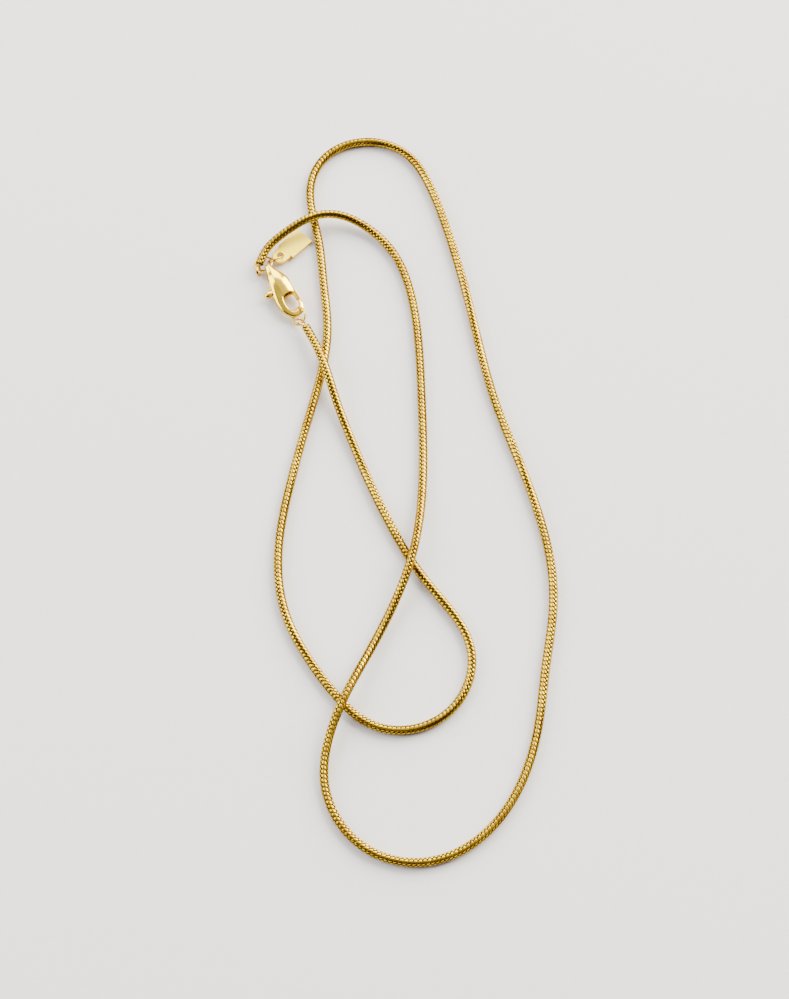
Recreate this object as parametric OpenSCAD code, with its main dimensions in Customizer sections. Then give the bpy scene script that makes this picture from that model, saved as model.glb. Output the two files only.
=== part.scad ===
// Snake chain necklace, fastened and laid down in loops, with its lobster clasp,
// end loops, jump rings and a small bare tag. Millimetres, +Z up, resting on z = 0.

/* [Chain] */
// Thickness of the round snake chain
chain_d = 1.3; // [1.1:0.05:1.4]
// Air between two strands where one passes over the other
cross_gap = 0.16; // [0.1:0.02:0.3]

/* [End loops] */
// Outer width of the loop soldered to each end of the chain
loop_d = 1.7; // [1.6:0.05:1.8]
// Wire of the end loops
loop_wire = 0.38; // [0.3:0.02:0.4]
// Distance from the chain's end to the middle of its loop
loop_reach = 1.15; // [1.1:0.05:1.2]
// Neck between the chain and its loop
neck_d = 0.44; // [0.3:0.02:0.5]
// Bead that closes the chain's end
bead_d = 0.8; // [0.6:0.05:0.9]
// Height of that bead
bead_h = 0.3; // [0.2:0.05:0.35]

/* [Jump rings] */
// Outer width of the ring that the hook holds
hook_ring_d = 3.16; // [3.1:0.02:3.3]
// Wire of the ring that the hook holds
hook_ring_wire = 0.3; // [0.24:0.02:0.32]
// Outer width of the ring in the clasp's tail
tail_ring_d = 3.2; // [3.1:0.02:3.3]
// Wire of the ring in the clasp's tail
tail_ring_wire = 0.3; // [0.26:0.02:0.32]
// Outer width of the ring in the tag
tag_ring_d = 2.74; // [2.7:0.02:2.8]
// Wire of the ring in the tag
tag_ring_wire = 0.3; // [0.24:0.02:0.3]

/* [Tag] */
// Width of the tag's plate
tag_w = 3.3; // [2.8:0.1:3.6]
// Distance from the tag's hole to its far edge
tag_len = 5.7; // [5.3:0.1:6]
// Thickness of the tag
tag_t = 0.5; // [0.3:0.05:0.5]
// Hole in the tag
tag_hole_d = 1.15; // [1.1:0.05:1.25]
// Width of the tag's round head
tag_head_d = 2.6; // [2.5:0.05:2.7]
// Depth of the small notches beside the head
tag_notch = 0.3; // [0.1:0.05:0.4]

/* [Clasp] */
// Length of the clasp from its tail to the bend of its hook
clasp_len = 10.8; // [10.6:0.1:11.2]
// Length of the hook past the body's blunt end
hook_len = 4.05; // [3.9:0.05:4.3]
// Width of the clasp's body
clasp_w = 3.7; // [3.6:0.1:3.9]
// Height of the clasp's body
clasp_h = 2.2; // [2.1:0.05:2.3]
// Height of the slot that the lever turns in
slot_h = 1; // [0.9:0.05:1.1]
// Pin that the lever turns on
pin_d = 0.7; // [0.5:0.05:0.8]
// Clearance round the pin in the lever
pin_play = 0.03; // [0.02:0.01:0.06]
// Hole across the clasp's tail
tail_hole_d = 0.8; // [0.76:0.02:0.84]
// Thickness of the lever
lever_h = 0.86; // [0.7:0.02:0.88]
// Width of the lever's gate
gate_w = 0.6; // [0.5:0.05:0.66]

/* [Hidden] */
gold = "#e0b64e";
// Air between pieces that only touch on the real necklace
seat_gap = 0.02;

// Clasp frame: x runs from the tail to the hook, y to the gate's side, z up from the middle plane.
clasp_at = [-21.85, 38.1];
clasp_turn = -60;
clasp_mid = clasp_h / 2;
half_w = clasp_w / 2;
function in_clasp(x, y) = [
    clasp_at[0] + x * cos(clasp_turn) - y * sin(clasp_turn),
    clasp_at[1] + x * sin(clasp_turn) + y * cos(clasp_turn),
    clasp_mid];
hook_bend_at = in_clasp(clasp_len, 0);
module clasp_frame() {
    color(gold) translate([clasp_at[0], clasp_at[1], clasp_mid]) rotate([0, 0, clasp_turn]) children();
}

// Chain
chain_r = chain_d / 2;
chain_sides = 8;
// Lift 0 lies on the surface, lift 1 passes over another strand.
lift_h = chain_d + cross_gap;

// The chain's route from the hook's end to the tail's end: [x, y, lift].
route = [
  [-15.3, 26.6, 0.62],
  [-13.2, 22.4, 0.95],
  [-11.6, 17.8, 1.20],
  [-10.2, 13.0, 0.30],
  [-7.5, 6.0, 0],
  [-4.6, -1.5, 0],
  [-1.3, -8.5, 0],
  [2.2, -15.1, 0],
  [6.5, -20.5, 0],
  [10.2, -25.4, 0],
  [11.2, -30.5, 0],
  [9.8, -35.7, 0],
  [6.1, -39.9, 0],
  [0.3, -41.8, 0],
  [-5.5, -40.5, 0],
  [-10.1, -35.8, 0],
  [-14.5, -29.5, 0],
  [-18.0, -23.0, 0],
  [-19.3, -15.5, 0],
  [-18.8, -7.5, 0],
  [-17.0, 1.0, 0],
  [-15.0, 9.5, 0],
  [-12.7, 18.0, 0],
  [-11.4, 26.3, 0],
  [-12.6, 34.5, 0],
  [-13.1, 42.5, 0],
  [-15.0, 49.0, 0],
  [-15.1, 55.0, 0],
  [-12.1, 59.9, 0],
  [-6.8, 62.2, 0],
  [-0.8, 61.2, 0],
  [3.3, 57.3, 0],
  [6.2, 50.0, 0],
  [8.8, 41.0, 0],
  [11.0, 32.0, 0],
  [12.8, 22.5, 0],
  [15.0, 13.0, 0],
  [18.5, 3.8, 0],
  [21.4, -5.0, 0],
  [23.4, -13.5, 0],
  [23.7, -22.0, 0],
  [21.9, -31.0, 0],
  [21.1, -39.5, 0],
  [19.0, -48.0, 0],
  [14.9, -55.4, 0],
  [9.0, -60.4, 0],
  [2.3, -62.3, 0],
  [-4.7, -60.6, 0],
  [-9.7, -55.8, 0],
  [-12.1, -49.0, 0],
  [-10.9, -42.0, 0.50],
  [-8.3, -35.8, 1.50],
  [-4.4, -28.1, 0.10],
  [-0.8, -20.9, 0.50],
  [2.0, -13.7, 1.50],
  [3.4, -4.0, 0],
  [3.6, 6.0, 0],
  [3.3, 15.0, 0],
  [3.0, 24.0, 0],
  [2.1, 32.0, 0],
  [-0.2, 40.0, 0],
  [-4.9, 45.2, 0.10],
  [-10.0, 47.5, 0.80],
  [-14.4, 46.7, 1.30],
  [-18.2, 44.2, 1.05],
  [-22.0, 41.2, 0.68],
  [-23.0, 38.1, 0.45]
];
last = len(route) - 1;
// The hook's bend as the route was drawn to it. The first points move with it if the clasp's length changes.
hook_drawn_at = [-16.45, 28.747, 0];
pulled_rows = 4;
// A ring of the tube at each point, and one more between points where the chain bends by this much
sharp_bend = 26;

// Smooth curve through the route: cubic blends of four neighbouring points.
function lifted(p, pull) = [p[0] + pull[0], p[1] + pull[1], chain_r + p[2] * lift_h];
function knot(i) =
    i < 0 ? 2 * knot(0) - knot(1)
    : i > last ? 2 * knot(last) - knot(last - 1)
    : lifted(route[i], max(0, 1 - i / pulled_rows) * (hook_bend_at - hook_drawn_at));
function curve(i, t) = (pow(1 - t, 3) * knot(i - 1) + (3 * pow(t, 3) - 6 * t * t + 4) * knot(i)
    + (3 * t * t - 3 * pow(t, 3) + 3 * t + 1) * knot(i + 1) + pow(t, 3) * knot(i + 2)) / 6;
function unit(v) = v / norm(v);
function bend(i) = acos(min(1, unit(knot(i) - knot(i - 1)) * unit(knot(i + 1) - knot(i))));
chain_path = [for (i = [0:last - 1])
    for (t = i > 0 && bend(i) + bend(i + 1) > 2 * sharp_bend ? [0, 0.5] : [0]) curve(i, t),
    curve(last - 1, 1)];

// Tube along a path, with a radius at each point
function heading(path, i) = unit(path[min(i + 1, len(path) - 1)] - path[max(i - 1, 0)]);
function sideways(d) = unit([-d[1], d[0], 0]);
// Corner k of the tube's ring at point i, with one flat side facing down
function corner(path, radii, sides, i, k) =
    let (d = heading(path, i), side = sideways(d), rise = cross(d, side),
         a = 360 * (k + 0.5) / sides - 90)
    path[i] + radii[i] * (cos(a) * side + sin(a) * rise);
function tube_points(path, radii, sides) =
    [for (i = [0:len(path) - 1]) for (k = [0:sides - 1]) corner(path, radii, sides, i, k)];
function tube_faces(n, sides) = concat(
    [[for (k = [0:sides - 1]) k]],
    [for (i = [0:n - 2]) for (k = [0:sides - 1]) let (next = (k + 1) % sides)
        [i * sides + k, (i + 1) * sides + k, (i + 1) * sides + next, i * sides + next]],
    [[for (k = [sides - 1:-1:0]) (n - 1) * sides + k]]);
module tube(path, radii, sides) {
    polyhedron(points = tube_points(path, radii, sides), faces = tube_faces(len(path), sides), convexity = 8);
}

// The tube's corners sit outside the chain's radius, so that its flat sides touch the chain's surface.
chain_radii = [for (p = chain_path) chain_r / cos(180 / chain_sides)];
module chain() {
    color(gold) tube(chain_path, chain_radii, chain_sides);
}

// Wire ring: turn is the heading of its long line, tilt raises the side left of that line.
function across(turn, tilt) = [-sin(turn) * cos(tilt), cos(turn) * cos(tilt), sin(tilt)];
// Height of the middle of a ring whose low side rests on the surface
function rest_h(outer_d, wire, tilt) = (outer_d - wire) / 2 * abs(sin(tilt)) + wire / 2 + seat_gap;
module ring(outer_d, wire, at, turn, tilt) {
    translate(at) rotate([0, 0, turn]) rotate([tilt, 0, 0])
        rotate_extrude($fn = 48) translate([(outer_d - wire) / 2, 0]) circle(d = wire, $fn = 20);
}

// Round bar between two points
module bar(a, b, d) {
    v = b - a;
    translate(a) rotate([0, acos(v[2] / norm(v)), atan2(v[1], v[0])])
        cylinder(d = d, h = norm(v), $fn = 24);
}

// End loops: each is soldered to a neck and a bead that closes the chain.
module end_loop(chain_end, away, at, turn, tilt) {
    foot = chain_end + away * seat_gap;
    top = foot + away * bead_h;
    color(gold) {
        ring(loop_d, loop_wire, at, turn, tilt);
        difference() {
            bar(top, at, neck_d);
            translate(at) sphere(r = (loop_d - loop_wire) / 2, $fn = 32);
        }
        bar(foot, top, bead_d);
    }
}

start_point = chain_path[0];
start_away = -heading(chain_path, 0);
loop_start_turn = 135;
loop_start_tilt = 35;
loop_start_at = start_point + loop_reach * [cos(loop_start_turn), sin(loop_start_turn), 0];
module loop_start() {
    end_loop(start_point, start_away, loop_start_at, loop_start_turn, loop_start_tilt);
}

end_point = chain_path[len(chain_path) - 1];
end_away = heading(chain_path, len(chain_path) - 1);
loop_end_turn = 85;
loop_end_tilt = 66;
// The chain drops a little towards this loop.
loop_end_drop = [0.1, 0.96, 0.42];
loop_end_at = end_point - loop_reach * unit(loop_end_drop);
module loop_end() {
    end_loop(end_point, end_away, loop_end_at, loop_end_turn, loop_end_tilt);
}

// The body's blunt end, where the hook's window begins
body_front = clasp_len - hook_len;
// The body blends these eggs: [x, half length, half width, half height], as shares of the
// body's length, half width and half height.
body_eggs = [
  [0.22, 0.12, 0.33, 0.62],
  [0.64, 0.27, 0.95, 1.00],
  [0.90, 0.19, 1.00, 0.86]
];
// Round lug with the tail's hole
tail_r = 0.7;
tail_lug_w = 1;
// Hook wire from its root in the body round the bend to its tip: [x, y, radius], with x back from
// the hook's end as a share of its length, and y and radius as shares of half the body's width.
hook_rows = [
  [1.14, -0.74, 0.36],
  [0.92, -0.78, 0.37],
  [0.56, -0.76, 0.33],
  [0.31, -0.60, 0.29],
  [0.13, -0.28, 0.26],
  [0.126, 0.14, 0.25],
  [0.20, 0.50, 0.22],
  [0.38, 0.72, 0.18],
  [0.52, 0.79, 0.16],
  [0.60, 0.79, 0.13]
];
hook_sides = 12;
hook_path = [for (h = hook_rows) [clasp_len - h[0] * hook_len, h[1] * half_w, 0]];
hook_radii = [for (h = hook_rows) h[2] * half_w];
hook_tip = hook_path[len(hook_path) - 1];

// The lever's pin sits near the middle of the body. It goes in from below and stops inside
// the upper cheek, so the body's top stays smooth.
pin_at = [0.64 * body_front, 0.19 * half_w];
pin_sink = 0.3;
pin_low = 0.85;
// Thumb knob, on an arm out of the side away from the gate
knob_at = [pin_at[0] + 0.75, -half_w - 0.65];
arm_w = 0.8;

// Slot for the lever: open along the gate's side and the front, and on the knob's side behind the hook
slot_back = 0.4 * body_front;
slot_step = knob_at[0] + arm_w / 2 + 0.08;
slot_wall = -half_w / 3;
module slot_plan() {
    past = half_w + 1;
    polygon([[slot_back, -past], [slot_step, -past], [slot_step, slot_wall], [body_front + 1, slot_wall],
             [body_front + 1, past], [slot_step - 0.75, past], [pin_at[0] - 0.2, half_w - 0.45],
             [slot_back, half_w - 0.65]]);
}

module body_shell() {
    difference() {
        hull() for (e = body_eggs)
            translate([e[0] * body_front, 0, 0])
                scale([e[1] * body_front, e[2] * half_w, e[3] * clasp_mid]) sphere(r = 1, $fn = 28);
        translate([body_front, -0.7 * half_w, -clasp_h]) cube([clasp_len, clasp_w, 2 * clasp_h]);
    }
}

module clasp_body() {
    clasp_frame() difference() {
        union() {
            body_shell();
            tube(hook_path, hook_radii, hook_sides);
            translate([tail_r, 0, 0]) rotate([90, 0, 0])
                cylinder(r = tail_r, h = tail_lug_w, center = true, $fn = 32);
        }
        translate([0, 0, -slot_h / 2]) linear_extrude(slot_h) slot_plan();
        translate([tail_r, 0, 0]) rotate([90, 0, 0])
            cylinder(d = tail_hole_d, h = clasp_w, center = true, $fn = 32);
        translate([pin_at[0], pin_at[1], -clasp_h])
            cylinder(d = pin_d + 2 * seat_gap, h = clasp_h + slot_h / 2 + pin_sink, $fn = 32);
    }
}

module clasp_pin() {
    clasp_frame() translate([pin_at[0], pin_at[1], -pin_low])
        cylinder(d = pin_d, h = pin_low + slot_h / 2 + pin_sink - seat_gap, $fn = 32);
}

// Lever: a hub on the pin, an arm out to the thumb knob and a gate that closes the hook
hub_r = pin_d / 2 + 0.42;
knob_r = 0.52;
knob_rise = 0.12;
lever_stop_gap = 0.14;
gate_r = gate_w / 2;
gate_end = [hook_tip[0] - lever_stop_gap - gate_r, hook_tip[1]];
gate_run = 1.4;
module lever_plan() {
    translate(pin_at) circle(r = hub_r, $fn = 48);
    polygon([pin_at - [0.8 * hub_r, 0.3], knob_at - [arm_w / 2, 0],
             knob_at + [arm_w / 2, 0], pin_at + [0.95 * hub_r, -0.2]]);
    polygon([pin_at + [0, hub_r], gate_end + [-gate_run, gate_r], gate_end + [0, gate_r],
             gate_end - [0, gate_r], gate_end - [0.8 * gate_run, gate_r], pin_at + [hub_r, 0]]);
    translate(gate_end) circle(r = gate_r, $fn = 32);
}

module clasp_lever() {
    clasp_frame() difference() {
        union() {
            translate([0, 0, -lever_h / 2]) linear_extrude(lever_h) lever_plan();
            translate(knob_at) cylinder(r = knob_r, h = lever_h + 2 * knob_rise, center = true, $fn = 40);
        }
        translate(pin_at) cylinder(d = pin_d + 2 * pin_play, h = clasp_h, center = true, $fn = 32);
    }
}

// Ring in the hook: it leans across the hook's bend, with its left side down.
hook_ring_turn = 104;
hook_ring_tilt = -44;
hook_ring_at = [hook_bend_at[0] - 0.06, hook_bend_at[1] - 0.1,
    rest_h(hook_ring_d, hook_ring_wire, hook_ring_tilt)];
module hook_ring() {
    color(gold) ring(hook_ring_d, hook_ring_wire, hook_ring_at, hook_ring_turn, hook_ring_tilt);
}

// Ring in the clasp's tail: it passes through the tail's hole and leans back to the surface.
tail_ring_turn = clasp_turn + 100;
tail_ring_tilt = -17;
tail_ring_at = in_clasp(tail_r, 0)
    + (tail_ring_d - tail_ring_wire) / 2 * across(tail_ring_turn, tail_ring_tilt);
module tail_ring() {
    color(gold) ring(tail_ring_d, tail_ring_wire, tail_ring_at, tail_ring_turn, tail_ring_tilt);
}

// Tag: its far edge rests on the surface and its head is held up by its ring.
tag_turn = 46;
tag_lean = 4.5;
tag_hole_at = [-19.68, 39.92];
tag_shoulder = tag_head_d / 2 - 0.25;
module tag_plan() {
    difference() {
        union() {
            circle(d = tag_head_d, $fn = 60);
            translate([0, -tag_head_d / 2]) square([tag_shoulder, tag_head_d]);
            translate([tag_shoulder, -tag_w / 2]) square([tag_len - tag_shoulder, tag_w]);
        }
        circle(d = tag_hole_d, $fn = 40);
        for (side = [-1, 1])
            translate([tag_shoulder, side * (tag_w - tag_notch) / 2]) circle(r = 0.6 * tag_notch, $fn = 20);
    }
}
module tag() {
    color(gold) translate([tag_hole_at[0], tag_hole_at[1], tag_len * sin(tag_lean) + seat_gap])
        rotate([0, 0, tag_turn]) rotate([0, tag_lean, 0]) linear_extrude(tag_t) tag_plan();
}

// Ring in the tag: it stands steeply, through the tag's hole and the tail's ring.
tag_ring_turn = 27;
tag_ring_tilt = -58;
tag_ring_at = [tag_hole_at[0] - 0.75, tag_hole_at[1] - 0.77,
    rest_h(tag_ring_d, tag_ring_wire, tag_ring_tilt)];
module tag_ring() {
    color(gold) ring(tag_ring_d, tag_ring_wire, tag_ring_at, tag_ring_turn, tag_ring_tilt);
}

// The middle of the outline goes to the origin: the chain reaches furthest, but for the rings on the left.
chain_points = tube_points(chain_path, chain_radii, chain_sides);
xs = [for (p = chain_points) p[0]];
ys = [for (p = chain_points) p[1]];
// How far a ring reaches sideways from its middle
function ring_reach(outer_d, wire, turn, tilt) =
    wire / 2 + (outer_d - wire) / 2 * sqrt(1 - pow(sin(turn) * sin(tilt), 2));
left = min(loop_end_at[0] - ring_reach(loop_d, loop_wire, loop_end_turn, loop_end_tilt),
    tail_ring_at[0] - ring_reach(tail_ring_d, tail_ring_wire, tail_ring_turn, tail_ring_tilt), min(xs));
module placed() {
    translate([-(left + max(xs)) / 2, -(min(ys) + max(ys)) / 2, 0]) children();
}

placed() chain();
placed() loop_start();
placed() loop_end();
placed() hook_ring();
placed() tail_ring();
placed() tag_ring();
placed() tag();
placed() clasp_body();
placed() clasp_pin();
placed() clasp_lever();
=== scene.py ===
# Gold snake chain necklace laid down in loops, with its lobster clasp, rings and small tag.
# Blender 4.5. Metres, +Z up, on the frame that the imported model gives.
import math
import bpy
from mathutils import Matrix, Vector


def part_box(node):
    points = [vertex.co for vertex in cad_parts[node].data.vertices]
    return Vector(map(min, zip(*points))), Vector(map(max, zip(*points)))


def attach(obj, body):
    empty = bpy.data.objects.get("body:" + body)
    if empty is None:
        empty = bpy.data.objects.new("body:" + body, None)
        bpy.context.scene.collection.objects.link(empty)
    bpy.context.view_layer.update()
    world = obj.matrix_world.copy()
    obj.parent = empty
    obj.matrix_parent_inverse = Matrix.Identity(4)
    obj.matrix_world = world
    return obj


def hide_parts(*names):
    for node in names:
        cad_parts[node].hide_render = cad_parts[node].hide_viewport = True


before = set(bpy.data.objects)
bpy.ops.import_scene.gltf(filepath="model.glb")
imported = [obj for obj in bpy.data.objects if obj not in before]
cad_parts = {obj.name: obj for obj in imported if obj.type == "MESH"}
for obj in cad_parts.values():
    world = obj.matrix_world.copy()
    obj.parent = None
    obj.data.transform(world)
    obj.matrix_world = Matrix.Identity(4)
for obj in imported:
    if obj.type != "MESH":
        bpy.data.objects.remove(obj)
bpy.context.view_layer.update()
mm = 0.001

# Camera: it looks down at the table from the front, about 66 degrees above it.
cameraView = {
    "place": (-1.015 * mm, -159.47 * mm, 359.65 * mm),
    "turn": (23.5, 0, 0),
    "lens": 90.09,
    "sensor": 36,
    "nearest": 0.01,
}
camera = bpy.data.objects.new("Camera", bpy.data.cameras.new("Camera"))
camera.location = cameraView["place"]
camera.rotation_euler = [math.radians(angle) for angle in cameraView["turn"]]
camera.data.lens = cameraView["lens"]
camera.data.sensor_width = cameraView["sensor"]
camera.data.clip_start = cameraView["nearest"]
bpy.context.scene.collection.objects.link(camera)
bpy.context.scene.camera = camera
print("camera set")


# Helpers
def linear(hexCode):
    # sRGB hex to linear red, green, blue and a full alpha
    channels = [int(hexCode[i:i + 2], 16) / 255 for i in (1, 3, 5)]
    return [c / 12.92 if c <= 0.04045 else ((c + 0.055) / 1.055) ** 2.4 for c in channels] + [1]


def addNode(tree, kind, inputs=None, **settings):
    # Inputs go by name, or by number where names repeat. Settings come first, since they change them.
    node = tree.nodes.new(kind)
    for name, value in settings.items():
        setattr(node, name, value)
    for name, value in (inputs or {}).items():
        if isinstance(name, int):
            socket = node.inputs[name]
        else:
            socket = next(s for s in node.inputs if s.name == name and s.enabled)
        if isinstance(value, bpy.types.NodeSocket):
            tree.links.new(value, socket)
        else:
            socket.default_value = value
    return node


def result(node):
    # The node's first output that its settings leave in use
    return next(socket for socket in node.outputs if socket.enabled)


def newMaterial(name):
    material = bpy.data.materials.new(name)
    material.use_nodes = True
    material.node_tree.nodes.clear()
    return material, material.node_tree


def meshPiece(name, points, faces, edges=()):
    mesh = bpy.data.meshes.new(name)
    mesh.from_pydata([tuple(p) for p in points], edges, faces)
    mesh.update()
    piece = bpy.data.objects.new(name, mesh)
    bpy.context.scene.collection.objects.link(piece)
    return piece


def shadeSmooth(mesh, angle=None):
    mesh.shade_smooth()
    if angle is not None:
        mesh.set_sharp_from_angle(angle=math.radians(angle))


def evaluated(piece):
    # The piece as a plain mesh, with its modifiers worked in
    graph = bpy.context.evaluated_depsgraph_get()
    mesh = bpy.data.meshes.new_from_object(piece.evaluated_get(graph))
    piece.modifiers.clear()
    old = piece.data
    piece.data = mesh
    mesh.name = piece.name
    bpy.data.meshes.remove(old)
    return piece


def drop(piece):
    mesh = piece.data
    bpy.data.objects.remove(piece)
    if isinstance(mesh, bpy.types.Mesh):
        bpy.data.meshes.remove(mesh)


def loftRings(rings, closed=False):
    # Skin over rings of points, all of the same count, with a flat fan at each end
    sides = len(rings[0])
    points = [p for ring in rings for p in ring]
    faces = []
    for i in range(len(rings) if closed else len(rings) - 1):
        a, b = i * sides, (i + 1) % len(rings) * sides
        for k in range(sides):
            n = (k + 1) % sides
            faces.append((a + k, a + n, b + n, b + k))
    if not closed:
        for ring, flip in ((0, True), (len(rings) - 1, False)):
            middle = len(points)
            points.append(sum((Vector(p) for p in rings[ring]), Vector()) / sides)
            for k in range(sides):
                pair = (ring * sides + k, ring * sides + (k + 1) % sides)
                faces.append((middle, *reversed(pair)) if flip else (middle, *pair))
    return points, faces


def tubeRings(path, radii, sides):
    # Round section carried along a path without twist
    rings = []
    side = None
    for i, at in enumerate(path):
        ahead = (path[min(i + 1, len(path) - 1)] - path[max(i - 1, 0)]).normalized()
        side = ahead.orthogonal() if side is None else side - ahead * side.dot(ahead)
        side.normalize()
        rise = ahead.cross(side)
        rings.append([at + radii[i] * (math.cos(a) * side + math.sin(a) * rise)
                      for a in (2 * math.pi * k / sides for k in range(sides))])
    return rings


def joined(name, parts):
    points, faces = [], []
    for part in parts:
        faces += [tuple(v + len(points) for v in face.vertices) for face in part.data.polygons]
        points += [v.co.copy() for v in part.data.vertices]
        drop(part)
    return meshPiece(name, points, faces)


def fused(name, parts, cutters, voxel, smoothing):
    # One body out of overlapping parts, with the cutters taken out and all its edges a little rounded
    piece = joined(name, parts)
    union = piece.modifiers.new("union", "REMESH")
    union.mode = "VOXEL"
    union.voxel_size = voxel
    for cutter in cutters:
        cut = piece.modifiers.new("cut", "BOOLEAN")
        cut.operation = "DIFFERENCE"
        cut.object = cutter
    if cutters:
        again = piece.modifiers.new("again", "REMESH")
        again.mode = "VOXEL"
        again.voxel_size = voxel
    smooth = piece.modifiers.new("smooth", "SMOOTH")
    smooth.iterations = smoothing
    evaluated(piece)
    for cutter in cutters:
        drop(cutter)
    shadeSmooth(piece.data)
    return piece


def prism(name, outline, low, high, place):
    # Outline points (x, y) raised from low to high, then set in place
    rings = [[place @ Vector((x, y, z)) for x, y in outline] for z in (low, high)]
    return meshPiece(name, *loftRings(rings))


def circle(at, radius, sides=32):
    return [(at[0] + radius * math.cos(2 * math.pi * k / sides),
             at[1] + radius * math.sin(2 * math.pi * k / sides)) for k in range(sides)]


def finished(piece, material, slot, body, *nodes):
    piece.data.materials.clear()
    piece.data.materials.append(material)
    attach(piece, body)
    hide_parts(*nodes)


# Materials. The size of a pattern is the real width of its patches, grains or lines, and what is finer
# than the picture shows only softens the shine. Scratches turn by radians.
# Noise values that count as none and as full
noiseSpan = (0.3, 0.7)
scratchDepth = 0.01 * mm


def goldMaterial(name, look):
    material, tree = newMaterial(name)
    place = addNode(tree, "ShaderNodeTexCoord").outputs["Object"]
    patches, grain = (addNode(tree, "ShaderNodeTexNoise", {
        "Vector": place, "Scale": 1 / look[size], "Detail": detail}).outputs["Fac"]
        for size, detail in (("patch", 3), ("grain", 4)))
    colour = addNode(tree, "ShaderNodeMix", {
        "Factor": patches, "A": linear(look["gold"]), "B": linear(look["warmGold"])}, data_type="RGBA")
    rough = addNode(tree, "ShaderNodeMapRange", {
        "Value": grain, "From Min": noiseSpan[0], "From Max": noiseSpan[1],
        "To Min": look["roughness"][0], "To Max": look["roughness"][1]})
    # Fine wiping scratches: noise drawn out along one heading
    drawnOut = addNode(tree, "ShaderNodeMapping", {
        "Vector": place, "Rotation": (0, 0, look["scratchTurn"]),
        "Scale": [1 / size for size in look["scratch"]]})
    scratches = addNode(tree, "ShaderNodeTexNoise", {
        "Vector": drawnOut.outputs["Vector"], "Scale": 1, "Detail": 2})
    bump = addNode(tree, "ShaderNodeBump", {
        "Height": scratches.outputs["Fac"], "Strength": look["scratchShare"], "Distance": scratchDepth})
    shader = addNode(tree, "ShaderNodeBsdfPrincipled", {
        "Base Color": result(colour), "Metallic": 1, "Roughness": rough.outputs["Result"],
        "Specular Tint": linear(look["edgeGold"]), "Normal": bump.outputs["Normal"]})
    addNode(tree, "ShaderNodeOutputMaterial", {"Surface": shader.outputs["BSDF"]})
    return material


# Bright polished plate on rings and loops: sharp white glints and deep amber turns
polishedGold = goldMaterial("polishedGoldPlate", {
    "gold": "#EEC83E", "warmGold": "#C09028", "edgeGold": "#CCA63E", "roughness": (0.1, 0.18),
    "patch": 2 * mm, "grain": mm / 6,
    "scratch": (mm / 9, mm / 1.2, mm / 3), "scratchTurn": 0.4, "scratchShare": 0.15})
# Cast clasp, polished by tumbling: slightly soft mirror with fine hairlines
claspGold = goldMaterial("tumbledGoldPlate", {
    "gold": "#FFDC4C", "warmGold": "#E6BA3A", "edgeGold": "#E8C04A", "roughness": (0.12, 0.2),
    "patch": 2.857 * mm, "grain": mm / 5,
    "scratch": (mm / 0.9, mm / 7, mm / 3), "scratchTurn": 1.0, "scratchShare": 0.2})
# Satin tag: a pale even sheen with a brushed grain
satinGold = goldMaterial("brushedGoldPlate", {
    "gold": "#FFE65C", "warmGold": "#FADC50", "edgeGold": "#FFE470", "roughness": (0.46, 0.56),
    "patch": 2.5 * mm, "grain": mm / 7,
    "scratch": (mm / 1.2, mm / 16, mm / 3), "scratchTurn": -0.8, "scratchShare": 0.5})


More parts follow.
